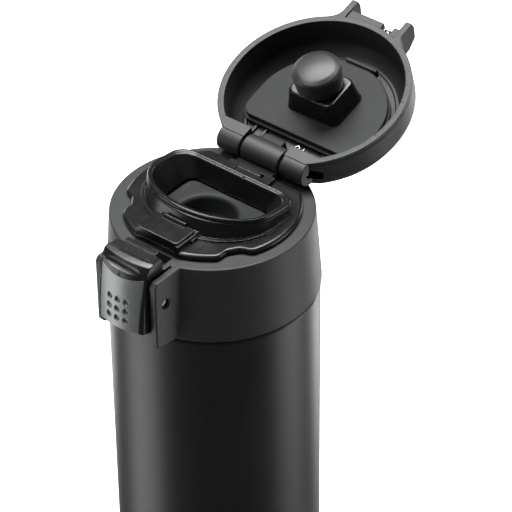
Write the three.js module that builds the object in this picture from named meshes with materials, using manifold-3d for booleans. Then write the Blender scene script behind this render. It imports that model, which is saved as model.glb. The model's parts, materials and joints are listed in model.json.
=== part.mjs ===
// Vacuum flask with a one-touch hinged lid, shown with the lid thrown open.
// Millimetres, +Z up, origin at the centre of the base, latch towards -Y, hinge towards +Y.
import * as THREE from "three";
import { mergeVertices } from "three/addons/utils/BufferGeometryUtils.js";
import Module from "manifold-3d";

const wasm = await Module();
wasm.setup();

// Driving dimensions
const bodyRadius = 33; // painted steel body, a 66 mm tube
const seamHeight = 181; // lower edge of the collar above the base
const collarHeight = 26;
const collarBottomRadius = 33.4; // the collar stands just proud of the body
const collarTopRadius = 31.5;
const fit = 0.35; // working gap between neighbouring pieces
const steel = 0.9; // wall of both steel vessels
const neckRadius = 26.4; // outside of the threaded neck
const threadPitch = 4;
const lidOpenAngle = THREE.MathUtils.degToRad(163);
const lidRadius = 30.8;
const lidHeight = 17.4;
const hinge = { y: 26.2, z: 4.8, radius: 4.2 }; // above the top of the collar
const latchPivot = { y: -36, z: -9.4 };
const latchHalf = 8.9; // half the width of the latch between its cheeks
const cheekInner = 9.3;
const cheekOuter = 11.8;
const rimHeight = 9; // front of the spout rim above the collar
const rimBack = 6; // back of the rim, lower than the front
const spoutBack = 13.2; // flat back of the spout
const plugCentre = -3; // plug axis, towards the latch from the middle

const capTop = seamHeight + collarHeight;
const around = 48; // facets round the large turned pieces

// Turn a three.js geometry into a solid that can be cut and joined.
function solid(geometry) {
  const bare = geometry.clone();
  bare.deleteAttribute("normal");
  bare.deleteAttribute("uv");
  const merged = mergeVertices(bare, 1e-4);
  const position = merged.getAttribute("position");
  const corner = (i) => new THREE.Vector3().fromBufferAttribute(position, i);
  const triangles = [];
  let volume = 0;
  for (let i = 0; i < merged.index.count; i += 3) {
    const [a, b, c] = [0, 1, 2].map((k) => merged.index.getX(i + k));
    if (a === b || b === c || c === a) continue;
    triangles.push([a, b, c]);
    volume += corner(a).dot(corner(b).cross(corner(c)));
  }
  const facing = volume < 0 ? triangles.map(([a, b, c]) => [a, c, b]) : triangles;
  return new wasm.Manifold(
    new wasm.Mesh({
      numProp: 3,
      vertProperties: new Float32Array(position.array),
      triVerts: new Uint32Array(facing.flat()),
    }),
  );
}

// A profile of [radius, height] points turned about Z.
function turned(profile, segments = around) {
  const ring = profile.every(([r]) => r > 0) ? [...profile, profile[0]] : profile;
  const points = ring.map(([r, z]) => new THREE.Vector2(r, z));
  return solid(new THREE.LatheGeometry(points, segments).rotateX(Math.PI / 2));
}

function box(x0, x1, y0, y1, z0, z1) {
  const geometry = new THREE.BoxGeometry(x1 - x0, y1 - y0, z1 - z0);
  return solid(geometry.translate((x0 + x1) / 2, (y0 + y1) / 2, (z0 + z1) / 2));
}

function rod(radius, x0, x1, y, z, segments = 20) {
  const geometry = new THREE.CylinderGeometry(radius, radius, x1 - x0, segments);
  return solid(geometry.rotateZ(Math.PI / 2).translate((x0 + x1) / 2, y, z));
}

// A side-view outline of [y, z] points drawn out along X.
function side(outline, x0, x1) {
  const shape = new THREE.Shape(outline.map(([y, z]) => new THREE.Vector2(y, z)));
  const geometry = new THREE.ExtrudeGeometry(shape, { depth: x1 - x0, bevelEnabled: false });
  const turn = new THREE.Matrix4().set(0, 0, 1, x0, 1, 0, 0, 0, 0, 1, 0, 0, 0, 0, 0, 1);
  return solid(geometry.applyMatrix4(turn));
}

// A plan outline raised from z0 to z1; shrink(x, y, t) reshapes it on the way up.
function raised(shape, z0, z1, shrink = null, steps = 1) {
  const options = { depth: 1, steps, bevelEnabled: false, curveSegments: 3 };
  const geometry = new THREE.ExtrudeGeometry(shape, options);
  const position = geometry.getAttribute("position");
  for (let i = 0; i < position.count; i++) {
    const t = position.getZ(i);
    const [x, y] = [position.getX(i), position.getY(i)];
    const [u, v] = shrink ? shrink(x, y, t) : [x, y];
    position.setXYZ(i, u, v, z0 + t * (z1 - z0));
  }
  return solid(geometry);
}

// Letter D with its flat side to the hinge and a half ellipse towards the latch.
function dShape(half, front, back, corner) {
  const shape = new THREE.Shape();
  shape.moveTo(half, 0);
  shape.lineTo(half, back - corner);
  shape.absarc(half - corner, back - corner, corner, 0, Math.PI / 2, false);
  shape.absarc(corner - half, back - corner, corner, Math.PI / 2, Math.PI, false);
  shape.lineTo(-half, 0);
  for (let k = 4; k < 8; k++) {
    shape.absellipse(0, 0, half, front, (k * Math.PI) / 4, ((k + 1) * Math.PI) / 4, false, 0);
  }
  return shape;
}

function roundedRectangle(half, y0, y1, corner) {
  const shape = new THREE.Shape();
  shape.moveTo(half, y0 + corner);
  shape.absarc(half - corner, y1 - corner, corner, 0, Math.PI / 2, false);
  shape.absarc(corner - half, y1 - corner, corner, Math.PI / 2, Math.PI, false);
  shape.absarc(corner - half, y0 + corner, corner, Math.PI, 1.5 * Math.PI, false);
  shape.absarc(half - corner, y0 + corner, corner, 1.5 * Math.PI, 2 * Math.PI, false);
  return shape;
}

// A helical thread ridge: a trapezoid bar wrapped round Z.
function threadRidge(rootRadius, crestRadius, start, turns) {
  const rootHalf = 0.9;
  const crestHalf = 0.45;
  const stepsPerTurn = 24;
  const section = new THREE.Shape([
    new THREE.Vector2(rootRadius, -rootHalf),
    new THREE.Vector2(crestRadius, -crestHalf),
    new THREE.Vector2(crestRadius, crestHalf),
    new THREE.Vector2(rootRadius, rootHalf),
  ]);
  const options = { depth: turns, steps: turns * stepsPerTurn, bevelEnabled: false };
  const geometry = new THREE.ExtrudeGeometry(section, options);
  const position = geometry.getAttribute("position");
  for (let i = 0; i < position.count; i++) {
    const turn = position.getZ(i);
    const radius = position.getX(i);
    const angle = turn * 2 * Math.PI;
    const height = start + turn * threadPitch + position.getY(i);
    position.setXYZ(i, radius * Math.cos(angle), radius * Math.sin(angle), height);
  }
  return solid(geometry);
}

// A coil spring about a line parallel to X.
function coil(coilRadius, wireRadius, x0, x1, turns, y, z) {
  const path = new THREE.Curve();
  path.getPoint = (t) => {
    const angle = t * turns * 2 * Math.PI;
    const x = x0 + t * (x1 - x0);
    return new THREE.Vector3(x, y + coilRadius * Math.cos(angle), z + coilRadius * Math.sin(angle));
  };
  const section = new THREE.Shape();
  section.absarc(0, 0, wireRadius, 0, 2 * Math.PI, false);
  const options = { steps: turns * 10, curveSegments: 3, extrudePath: path };
  return solid(new THREE.ExtrudeGeometry(section, options));
}

function union(first, ...rest) {
  return rest.reduce((sum, next) => sum.add(next), first);
}

function cut(first, ...rest) {
  return rest.reduce((sum, next) => sum.subtract(next), first);
}

const finishes = {
  blackPaint: { color: 0x161719, roughness: 0.5, metalness: 0.2 },
  brushedSteel: { color: 0xb9bcc0, roughness: 0.35, metalness: 1 },
  foil: { color: 0xa9acb0, roughness: 0.3, metalness: 1 },
  getterMetal: { color: 0x5e6066, roughness: 0.7, metalness: 0.8 },
  glassSolder: { color: 0x4a5a50, roughness: 0.2, metalness: 0 },
  rubberPad: { color: 0x1d1d1e, roughness: 0.9, metalness: 0 },
  mattPlastic: { color: 0x2a2b2e, roughness: 0.7, metalness: 0 },
  glossPlastic: { color: 0x1b1c1f, roughness: 0.3, metalness: 0 },
  greyPlastic: { color: 0x515357, roughness: 0.55, metalness: 0 },
  silicone: { color: 0x3a3b3e, roughness: 0.6, metalness: 0 },
  springSteel: { color: 0xc9cbce, roughness: 0.25, metalness: 1 },
  gunmetal: { color: 0x6a6b6f, roughness: 0.4, metalness: 0.5 },
};

function piece(name, shape, finish) {
  const mesh = shape.getMesh();
  const geometry = new THREE.BufferGeometry();
  geometry.setAttribute("position", new THREE.BufferAttribute(mesh.vertProperties, 3));
  geometry.setIndex(new THREE.BufferAttribute(mesh.triVerts, 1));
  geometry.computeVertexNormals();
  const part = new THREE.Mesh(geometry, new THREE.MeshStandardMaterial(finishes[finish]));
  part.name = name;
  return part;
}

// ---- Bottle: two steel vessels with a vacuum between them ----

const shellFloor = 1.2;
const shellTop = seamHeight - 0.4;
const neckTop = 198.6;
const threadStart = 184;

function outerShell() {
  const inner = bodyRadius - steel;
  const neckInner = neckRadius - steel;
  const wall = turned([
    [31, shellFloor],
    [32.3, 1.5],
    [bodyRadius, 3],
    [bodyRadius, shellTop - 1.4],
    [bodyRadius - 1, shellTop],
    [neckRadius, shellTop],
    [neckRadius, neckTop],
    [neckInner, neckTop],
    [neckInner, shellTop - steel],
    [inner - 0.6, shellTop - steel],
    [inner, shellTop - 1.9],
    [inner, 3.4],
    [31.6, 2.6],
    [31, 2.6],
  ]);
  return wall.add(threadRidge(neckRadius - 0.4, neckRadius + 1, threadStart, 2));
}

const vesselRadius = 30;
const vesselFloor = 6.5;
const mouthRadius = 24.3;

function innerFlask() {
  const inside = vesselRadius - steel;
  return turned(
    [
      [0, vesselFloor],
      [24, vesselFloor],
      [28.6, 9],
      [vesselRadius, 13],
      [vesselRadius, 167],
      [mouthRadius + steel - 0.1, 175.5],
      [mouthRadius + steel - 0.1, neckTop + 0.4],
      [neckRadius, neckTop + 0.4],
      [neckRadius, neckTop + 1],
      [mouthRadius, neckTop + 1],
      [mouthRadius, 175],
      [inside, 166.6],
      [inside, 13.2],
      [28, 9.8],
      [23.7, vesselFloor + steel],
      [0, vesselFloor + steel],
    ],
    40,
  );
}

function bottomPlate() {
  return turned([
    [2.3, 1.6],
    [30.6, 1.6],
    [30.6, 2.4],
    [9, 2.4],
    [7.5, 3.4],
    [2.3, 3.4],
  ], 36);
}

function basePad() {
  return turned([[0, 0], [29.9, 0], [30.6, 0.5], [30.6, 1.2], [0, 1.2]], 40);
}

function radiationFoil() {
  const r = vesselRadius + 0.35;
  return turned([[r, 15], [r + 0.4, 15], [r + 0.4, 164], [r, 164]], 36);
}

function getterPellet() {
  return turned([[0, 4.3], [3.6, 4.3], [4, 4.7], [4, 6], [0, 6]], 20).translate([13, 0, 0]);
}

function vacuumPlug() {
  return turned([[0, 1.7], [1.9, 1.7], [1.9, 3.9], [0.8, 4.4], [0, 4.4]], 16);
}

// ---- Cap: everything below is measured from the top face of the collar ----

const deckThickness = 2.4;
const spoutStem = 23.6; // round stem of the spout, through the deck

function neckGasket() {
  return turned([[24.7, -7.1], [27.1, -7.1], [27.1, -4.8], [24.7, -4.8]], 40);
}

function cheek(mirror) {
  const outline = [[-28, 0], [-39.4, 0], [-40.6, -1.2], [-40.6, -24], [-28, -26]];
  const x0 = mirror < 0 ? -cheekOuter : cheekInner;
  return side(outline, x0, x0 + cheekOuter - cheekInner);
}

function collar() {
  const wall = 2.2;
  const skirt = turned([
    [collarBottomRadius, -collarHeight],
    [collarTopRadius + 0.1, -0.9],
    [collarTopRadius - 0.7, 0],
    [spoutStem + 0.6, 0],
    [spoutStem + 0.6, -deckThickness],
    [collarTopRadius - wall, -deckThickness],
    [collarBottomRadius - wall, -collarHeight],
  ]);
  const web = [
    [24.6, -deckThickness],
    [24.6, 1],
    [22.4, 1],
    [22.4, hinge.z],
    [30.4, hinge.z],
    [30.9, -deckThickness],
  ];
  const half = 7.2;
  const body = union(
    skirt,
    cheek(-1),
    cheek(1),
    side(web, -half, half),
    rod(hinge.radius, -half, half, hinge.y, hinge.z, 24),
  );
  // hollow behind the cheeks is cleared again after they are joined on
  const bore = turned([[0, -30], [collarBottomRadius - wall, -30],
    [collarTopRadius - wall, -deckThickness], [0, -deckThickness]]);
  return cut(
    body,
    bore,
    box(-7, 7, -34, -27, -4, 1),
    rod(1.6, -20, 20, hinge.y, hinge.z, 14),
    rod(3.4, 3, 8, hinge.y, hinge.z, 20),
    rod(1.6, -20, 20, latchPivot.y, latchPivot.z, 14),
  );
}

function capCore() {
  const outer = 29;
  const root = 28;
  const crown = -2.8;
  const ring = turned([
    [root, -24.5],
    [outer, -24.5],
    [outer, crown],
    [spoutStem + 0.8, crown],
    [spoutStem + 0.8, crown - 1.6],
    [root, crown - 1.6],
  ]);
  const start = threadStart + threadPitch / 2 - capTop;
  return ring.add(threadRidge(root + 0.4, neckRadius + 0.5, start, 2));
}

// Plateau round the spout: a circle with one soft dip on each side of the latch.
function plateauShape() {
  const radius = 27.5;
  const dip = 2.6;
  const dipAngle = THREE.MathUtils.degToRad(35.5);
  const dipWidth = THREE.MathUtils.degToRad(9);
  const points = [];
  const count = 96;
  for (let k = 0; k < count; k++) {
    const angle = (k / count) * 2 * Math.PI;
    const offset = Math.min(
      Math.abs(angle - (2 * Math.PI - dipAngle)),
      Math.abs(angle - (Math.PI + dipAngle)),
    );
    const r = radius - dip * Math.exp(-((offset / dipWidth) ** 4));
    const near = k % 2 === 0 || offset < 2 * dipWidth;
    if (near) points.push(new THREE.Vector2(r * Math.cos(angle), r * Math.sin(angle)));
  }
  return new THREE.Shape(points);
}

const wellHalf = 16.6; // pocket under the spout that holds the valve seat
const wellFront = -14.4;
const wellBack = 9.2;

function spout() {
  const wall = 2;
  const half = 22.6;
  const corner = 6;
  const frontGrowth = 18.3 / 15.3;
  const flare = (x, y, t) => [x, y < 0 ? y * (frontGrowth + (1 - frontGrowth) * t) : y];
  const bowlFloor = -0.4;
  const narrow = 16 / (half - wall);
  const shallow = 9.2 / (spoutBack - wall);
  const funnel = (x, y, t) => {
    const back = y < 0 ? 1 : shallow + (1 - shallow) * t;
    return [x * (narrow + (1 - narrow) * t), y * back];
  };
  const bowl = dShape(half - wall, 13, spoutBack - wall, corner - 1.5);
  const aboveRim = [
    [-11, rimHeight],
    [spoutBack + 0.8, rimBack - 0.1],
    [spoutBack + 0.8, rimHeight + 3],
    [-11, rimHeight + 3],
  ];
  const frontTongue = [[-17, 1], [-17, 5], [-25.4, 5], [-26.2, 4.2], [-26.2, 1]];
  const body = union(
    raised(plateauShape(), 0.35, 2),
    raised(dShape(half, 15.3, spoutBack, corner), 1.6, rimHeight, flare, 2),
    turned([[0, -5], [spoutStem, -5], [spoutStem, 0.6], [0, 0.6]], 40),
    side(frontTongue, -8.3, 8.3),
    box(-8.8, 8.8, 9.5, 19.9, 1, 3.4),
    box(-7.2, 7.2, 19, 21.6, 1, 3.4),
  );
  return cut(
    body,
    side(aboveRim, -half - 1, half + 1),
    raised(bowl, bowlFloor - 0.2, rimHeight + 0.01, funnel, 2),
    raised(roundedRectangle(wellHalf, wellFront, wellBack, 3), -6, bowlFloor),
    box(-18, 18, 21.8, 30, -1, 6),
    box(-18, -7.4, 20.3, 30, 0.1, 6),
    box(7.4, 18, 20.3, 30, 0.1, 6),
    box(-4.6, 4.6, 14.4, 18.6, 2.9, 4),
    box(-9.5, 9.5, -30, -26.3, 0, 2.2),
  );
}

// Floor of the spout: a plate with a round cup under the plug and the drink hole in its bottom.
function valveSeat() {
  const gap = 0.4;
  const plateTop = -0.9;
  const cupFloor = -7.8;
  const cupRadius = 8.5;
  const mouthRadius = 9.8;
  const wall = 1.2;
  const outline = roundedRectangle(wellHalf - gap, wellFront + gap, wellBack - gap, 2.6);
  const cup = turned([
    [0, cupFloor - wall],
    [cupRadius + wall, cupFloor - wall],
    [mouthRadius + wall, plateTop],
    [0, plateTop],
  ], 32).translate([0, plugCentre, 0]);
  const inside = turned([
    [0, cupFloor],
    [cupRadius, cupFloor],
    [mouthRadius, plateTop],
    [mouthRadius, 2],
    [0, 2],
  ], 32).translate([0, plugCentre, 0]);
  const hole = turned([[0, -12], [5.5, -12], [5.5, -5], [0, -5]], 24).translate([0, plugCentre, 0]);
  return cut(union(raised(outline, plateTop - 1.3, plateTop), cup), inside, hole);
}

function spoutSeal() {
  return turned([[21.7, -7], [24, -7], [24, -5.35], [21.7, -5.35]], 36);
}

function hingePin() {
  return rod(1.25, -15, 15.9, hinge.y, hinge.z, 14);
}

function lidSpring() {
  return coil(2.7, 0.35, 3.6, 7.5, 4, hinge.y, hinge.z);
}

function latchPin() {
  return rod(1.25, -cheekOuter + 0.4, cheekOuter - 0.4, latchPivot.y, latchPivot.z, 14);
}

function latchSpring() {
  return coil(2.1, 0.35, -2.4, 2.4, 4, latchPivot.y, latchPivot.z);
}

// ---- Latch: rocks on its pin, pressed at the bottom, hooks the lid at the top ----

const latchFront = [[-40.2, 2.9], [-40.9, 0.4], [-42, -5], [-43.5, -12], [-43.9, -17.4]];

function latchBody() {
  const block = [
    [-33.6, 4.9],
    [-38.2, 4.9],
    [-39.4, 4.4],
    ...latchFront,
    [-42.2, -19],
    [-37, -18.8],
    [-35, -18.2],
    [-34, -12],
    [-33.9, -2],
    [-33.6, 0],
  ];
  const inset = ([y, z]) => [y + 1.2, z];
  const brim = [...latchFront.slice(2), [-42.2, -19], ...latchFront.slice(2).reverse().map(inset)];
  return cut(
    union(
      side(block, -latchHalf, latchHalf),
      side(brim, -9.6, 9.6),
      box(-6, 6, -34, -31.8, 3.7, 4.9),
    ),
    rod(1.6, -12, 12, latchPivot.y, latchPivot.z, 14),
    box(-3.2, 3.2, -39.6, -33, -12.6, -6.2),
  );
}

function latchFace() {
  const thickness = 1.3;
  const back = [[-41.3, 0.2], [-42.3, -5], [-43.75, -12], [-44.2, -17.6]];
  const front = back.map(([y, z]) => [y - thickness, z]).reverse();
  return side([...back, ...front], -8.8, 8.8);
}

// ---- Lid: drawn shut on the collar, then swung open about the hinge ----

const rimGap = 0.35;
const lidWall = 2.2;
const backStep = 9.6; // height of the hinge step in the closed lid

function lidShell() {
  const dish = turned([
    [0, rimGap],
    [lidRadius, rimGap],
    [lidRadius, 9],
    [lidRadius - 0.8, 10.8],
    [lidRadius - 2.6, 13],
    [lidRadius - 5, 15.2],
    [lidRadius - 7.8, 16.7],
    [lidRadius - 11.3, lidHeight],
    [0, lidHeight],
  ]);
  const inner = lidRadius - lidWall;
  const hollow = turned([
    [0, -1],
    [inner, -1],
    [inner, 8.8],
    [inner - 1.1, 10.8],
    [inner - 2.8, 12.8],
    [inner - 5, 14.4],
    [inner - 7, 15.2],
    [0, 15.2],
  ]);
  const lowHollow = hollow.intersect(box(-40, 40, -40, 22.2, -2, backStep - 0.3));
  const highHollow = hollow.intersect(box(-40, 40, -40, 19.8, backStep - 1, 16));
  const behindStep = [[22.2, backStep], [23.6, lidHeight + 1], [45, lidHeight + 1], [45, backStep]];
  const behindHinge = [[hinge.y, -2], [hinge.y, backStep + 1], [45, backStep + 1], [45, -2]];
  const prong = [[-27.6, rimGap], [-38.6, rimGap], [-39.2, 1.2], [-39, 2.4], [-33.5, 7.6], [-27.6, 9.6]];
  const ledge = [[-29.4, 1], [-33.2, 1], [-33.2, 3.4], [-29.4, 3.4]];
  const lugOuter = 16.8;
  const lugInner = 8;
  const shaped = union(
    cut(dish, lowHollow, highHollow, side(behindStep, -45, 45), side(behindHinge, -45, 45)),
    rod(hinge.radius, -lugOuter, -lugInner, hinge.y, hinge.z, 24),
    rod(hinge.radius, lugInner, lugOuter, hinge.y, hinge.z, 24),
    side(prong, -11.8, -9.4),
    side(prong, 9.4, 11.8),
    side(ledge, -9.6, 3.2),
    side(ledge, 7.2, 9.6),
  );
  return cut(
    shaped,
    box(-lugInner, lugInner, 21.5, 40, -2, backStep - 0.2),
    box(-lugInner, lugInner, 22.2, 40, -2, backStep + 1),
    rod(1.6, -15.6, 15.6, hinge.y, hinge.z, 14),
    rod(2, 15.2, 20, hinge.y, hinge.z, 14),
  );
}

function lidLiner() {
  const disc = turned([[0, 13.1], [24.9, 13.1], [22.5, 14.8], [0, 14.8]]);
  const boss = raised(roundedRectangle(8, -9, 3, 2), 11.55, 13.4);
  return disc.intersect(box(-40, 40, -40, 19.3, 10, 16)).add(boss);
}

function sealPlate() {
  return raised(dShape(22.4, 20.6, 12.6, 4.5), rimHeight + 0.4, rimHeight + 2.2);
}

const pedestalTop = 1.6;

function plugPedestal() {
  const shrink = (x, y, t) => {
    const s = 0.88 + 0.12 * t;
    return [x * s, plugCentre + (y - plugCentre) * s];
  };
  const shape = roundedRectangle(10, plugCentre - 7.7, plugCentre + 7.7, 2.6);
  return raised(shape, pedestalTop, rimHeight + 0.1, shrink);
}

function plugCap() {
  const r = 7.9;
  const tip = -7.4;
  return turned([
    [0, pedestalTop - fit],
    [r - 0.3, pedestalTop - fit],
    [r, 0],
    [r, tip + 1.9],
    [r - 0.6, tip + 0.7],
    [r - 1.9, tip + 0.1],
    [0, tip],
  ], 32).translate([0, plugCentre, 0]);
}

function springTab() {
  return box(-9, -0.8, 16.4, 19.2, 9.2, 12.7);
}

function catchWire() {
  const wire = 0.4;
  const across = rod(wire, 4, 6.4, -31.9, 2.2, 8);
  return union(across, box(4, 4.8, -32.2, -31.1, 1.9, 3.4), box(5.6, 6.4, -32.2, -31.1, 1.9, 3.4));
}

// ---- Assembly ----

const flask = new THREE.Group();
flask.add(
  piece("outer_shell", outerShell(), "blackPaint"),
  piece("inner_flask", innerFlask(), "brushedSteel"),
  piece("bottom_plate", bottomPlate(), "brushedSteel"),
  piece("base_pad", basePad(), "rubberPad"),
  piece("radiation_foil", radiationFoil(), "foil"),
  piece("getter_pellet", getterPellet(), "getterMetal"),
  piece("vacuum_plug", vacuumPlug(), "glassSolder"),
);

const cap = new THREE.Group();
cap.position.z = capTop;
cap.add(
  piece("neck_gasket", neckGasket(), "silicone"),
  piece("collar", collar(), "mattPlastic"),
  piece("cap_core", capCore(), "glossPlastic"),
  piece("spout", spout(), "glossPlastic"),
  piece("valve_seat", valveSeat(), "greyPlastic"),
  piece("spout_seal", spoutSeal(), "silicone"),
  piece("hinge_pin", hingePin(), "springSteel"),
  piece("lid_spring", lidSpring(), "springSteel"),
  piece("latch_pin", latchPin(), "springSteel"),
  piece("latch_spring", latchSpring(), "springSteel"),
  piece("latch_body", latchBody(), "glossPlastic"),
  piece("latch_face", latchFace(), "gunmetal"),
);
flask.add(cap);

const lid = new THREE.Group();
for (const part of [
  piece("lid_shell", lidShell(), "mattPlastic"),
  piece("lid_liner", lidLiner(), "mattPlastic"),
  piece("seal_plate", sealPlate(), "greyPlastic"),
  piece("plug_pedestal", plugPedestal(), "glossPlastic"),
  piece("plug_cap", plugCap(), "silicone"),
  piece("spring_tab", springTab(), "greyPlastic"),
  piece("catch_wire", catchWire(), "springSteel"),
]) {
  part.position.set(0, -hinge.y, -hinge.z);
  lid.add(part);
}
lid.position.set(0, hinge.y, hinge.z);
lid.rotation.x = -lidOpenAngle;
cap.add(lid);

export default flask;
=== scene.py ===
"""A slim vacuum flask with its spring lid thrown open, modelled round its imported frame.

Pieces are shaped in millimetres on the bench, each in the space of its own group: the bottle
stands on z = 0, the cap and the shut lid have z = 0 at the top face of the collar. When a piece
is finished it is put in its place in the frame, in metres.
"""

import json
import math

import bmesh
import bpy
from mathutils import Matrix, Vector


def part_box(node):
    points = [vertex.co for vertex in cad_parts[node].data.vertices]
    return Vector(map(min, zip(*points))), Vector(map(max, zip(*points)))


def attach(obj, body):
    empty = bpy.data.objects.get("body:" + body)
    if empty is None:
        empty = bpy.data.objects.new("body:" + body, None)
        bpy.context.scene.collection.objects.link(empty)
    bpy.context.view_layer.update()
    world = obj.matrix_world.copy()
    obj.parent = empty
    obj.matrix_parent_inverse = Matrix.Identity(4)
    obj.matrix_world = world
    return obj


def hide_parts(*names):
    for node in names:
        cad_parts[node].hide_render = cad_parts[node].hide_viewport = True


bl_info = {
    "name": "Vacuum flask",
    "version": (1, 0, 0),
    "blender": (4, 5, 0),
    "location": "3D View > Sidebar > Flask",
    "description": "Models a vacuum flask with a one-touch lid round its packed frame",
    "category": "Add Mesh",
}

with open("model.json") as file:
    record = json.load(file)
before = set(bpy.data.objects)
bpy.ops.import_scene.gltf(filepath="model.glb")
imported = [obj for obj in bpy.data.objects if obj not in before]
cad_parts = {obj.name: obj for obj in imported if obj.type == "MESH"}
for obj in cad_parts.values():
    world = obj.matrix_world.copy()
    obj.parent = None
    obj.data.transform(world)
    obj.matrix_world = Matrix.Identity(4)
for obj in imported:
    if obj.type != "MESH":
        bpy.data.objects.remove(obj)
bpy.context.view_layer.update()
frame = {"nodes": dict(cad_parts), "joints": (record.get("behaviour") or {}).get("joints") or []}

MM = 0.001


def joint(name):
    return next(j for j in frame["joints"] if j["name"] == name)


def node_box(node):
    """Lowest and highest corner of a frame node, in millimetres."""
    low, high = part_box(node)
    return low / MM, high / MM


DECK = joint("cap_turn")["pos_m"][2] / MM
HINGE = Vector(joint("lid_hinge")["pos_m"]) / MM - Vector((0, 0, DECK))
PIVOT = Vector(joint("latch_press")["pos_m"]) / MM - Vector((0, 0, DECK))
OPEN_ANGLE = math.radians(joint("lid_hinge")["range_deg"][1])

BOTTLE_SPACE = Matrix.Scale(MM, 4)
CAP_SPACE = BOTTLE_SPACE @ Matrix.Translation((0, 0, DECK))
LID_SPACE = (
    CAP_SPACE
    @ Matrix.Translation(HINGE)
    @ Matrix.Rotation(-OPEN_ANGLE, 4, "X")
    @ Matrix.Translation(-HINGE)
)

ROUND = 160  # sides of the large round pieces
SMALL_ROUND = 64
TILT_LINE = -14.4  # the tilted rim of the spout keeps its height here

# ---------------------------------------------------------------------------
# Bench: shaping pieces by hand
# ---------------------------------------------------------------------------


def clear_bench():
    """Leave edit mode and let go of every object."""
    if bpy.context.mode != "OBJECT":
        bpy.ops.object.mode_set(mode="OBJECT")
    bpy.ops.object.select_all(action="DESELECT")


def take(workpiece):
    """Make one object the only chosen and active one."""
    clear_bench()
    workpiece.select_set(True)
    bpy.context.view_layer.objects.active = workpiece


def edit(workpiece):
    take(workpiece)
    bpy.ops.object.mode_set(mode="EDIT")
    bpy.ops.mesh.select_all(action="DESELECT")


def lay_down(name):
    """Leave edit mode and name the piece on the bench."""
    bpy.ops.object.mode_set(mode="OBJECT")
    workpiece = bpy.context.object
    workpiece.name = name
    workpiece.data.name = name
    return workpiece


def rounded(corners, step=12.0):
    """Points round a closed outline. A corner is (across, up) or (across, up, fillet radius)."""
    points = []
    for i, corner in enumerate(corners):
        at = Vector(corner[:2])
        if len(corner) == 2:
            points.append(at)
            continue
        before = Vector(corners[i - 1][:2]) - at
        after = Vector(corners[(i + 1) % len(corners)][:2]) - at
        half = before.angle(after) / 2
        radius = corner[2]
        reach = radius / math.tan(half)
        halfway = (before.normalized() + after.normalized()).normalized()
        centre = at + halfway * radius / math.sin(half)
        start = at + before.normalized() * reach - centre
        end = at + after.normalized() * reach - centre
        sweep = start.angle_signed(end)
        count = max(2, math.ceil(abs(math.degrees(sweep)) / step))
        for k in range(count + 1):
            points.append(centre + Matrix.Rotation(-sweep * k / count, 2) @ start)
    return points


def circle(radius=1.0, count=ROUND):
    return [
        (radius * math.cos(2 * math.pi * k / count), radius * math.sin(2 * math.pi * k / count))
        for k in range(count)
    ]


def d_outline(half, front, back, corner, count=ROUND):
    """A letter D seen from above: half an ellipse towards the latch, flat side to the hinge."""
    arc = [
        (half * math.cos(math.pi * (1 + k / count)), front * math.sin(math.pi * (1 + k / count)))
        for k in range(count + 1)
    ]
    ends = [(half, 0), (half, back, corner), (-half, back, corner), (-half, 0)]
    return arc + rounded(ends, 6)[1:-1]


def rectangle(half, front, back, corner):
    """A rectangle seen from above, from y = -front to y = back."""
    corners = [(half, -front), (half, back), (-half, back), (-half, -front)]
    return rounded([(x, y, corner) for x, y in corners], 9)


def draw(points):
    """Draw a closed face point by point, as with the extrude tool, and leave it chosen."""
    clear_bench()
    points = [Vector(p) for p in points]
    bpy.ops.mesh.primitive_plane_add(size=1, location=points[0])
    bpy.ops.object.transform_apply()
    bpy.ops.object.mode_set(mode="EDIT")
    bpy.ops.mesh.select_mode(type="VERT")
    bpy.ops.mesh.select_all(action="SELECT")
    bpy.ops.mesh.merge(type="CENTER")
    for here, there in zip(points, points[1:]):
        bpy.ops.mesh.extrude_region_move(TRANSFORM_OT_translate={"value": there - here})
    bpy.ops.mesh.select_all(action="SELECT")
    bpy.ops.mesh.edge_face_add()


def face_out():
    bpy.ops.mesh.select_all(action="SELECT")
    bpy.ops.mesh.normals_make_consistent(inside=False)


def choose(test, mode="FACE"):
    """Choose faces or edges by their place; test gets a face, or an edge's two ends."""
    bpy.ops.mesh.select_mode(type=mode)
    bpy.ops.mesh.select_all(action="DESELECT")
    mesh = bmesh.from_edit_mesh(bpy.context.edit_object.data)
    for element in mesh.faces if mode == "FACE" else mesh.edges:
        if mode == "FACE":
            element.select_set(test(element))
        elif test(element.verts[0].co, element.verts[1].co):
            element.select_set(True)
    mesh.select_flush_mode()
    bmesh.update_edit_mesh(bpy.context.edit_object.data)


def tip(angle, z):
    """Tip the chosen row about the tilt line, down towards the hinge."""
    if angle:
        pivot = (0, TILT_LINE, z)
        bpy.ops.transform.rotate(value=angle, orient_axis="X", center_override=pivot)


def loft(name, outline, rows, loop=False):
    """Raise a plan outline through rows of (half width, front, back, height, tilt).

    The outline fills the first row's box. A row with a tilt drops towards the hinge by that
    angle. With loop the last row joins the first, so the piece is a ring; without it both ends
    are closed by a face.
    """
    draw([(x, y, rows[0][3]) for x, y in outline])
    rows = [(*row, 0.0)[:5] for row in rows]
    tip(rows[0][4], rows[0][3])
    for (half0, front0, back0, z0, tilt0), (half, front, back, z, tilt) in zip(rows, rows[1:]):
        middle = (back - front) / 2
        move = (0, middle - (back0 - front0) / 2, z - z0)
        bpy.ops.mesh.extrude_region_move(TRANSFORM_OT_translate={"value": move})
        scale = (half / half0, (front + back) / (front0 + back0), 1)
        bpy.ops.transform.resize(value=scale, center_override=(0, middle, z))
        tip(tilt - tilt0, z)
    if loop:
        choose(lambda face: len(face.verts) == len(outline))
        bpy.ops.mesh.bridge_edge_loops()
    face_out()
    return lay_down(name)


def turned(name, profile, count=ROUND, loop=False):
    """A piece turned on Z from (radius, height) points, from the bottom up."""
    return loft(name, circle(profile[0][0], count), [(r, r, r, z) for r, z in profile], loop)


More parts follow.
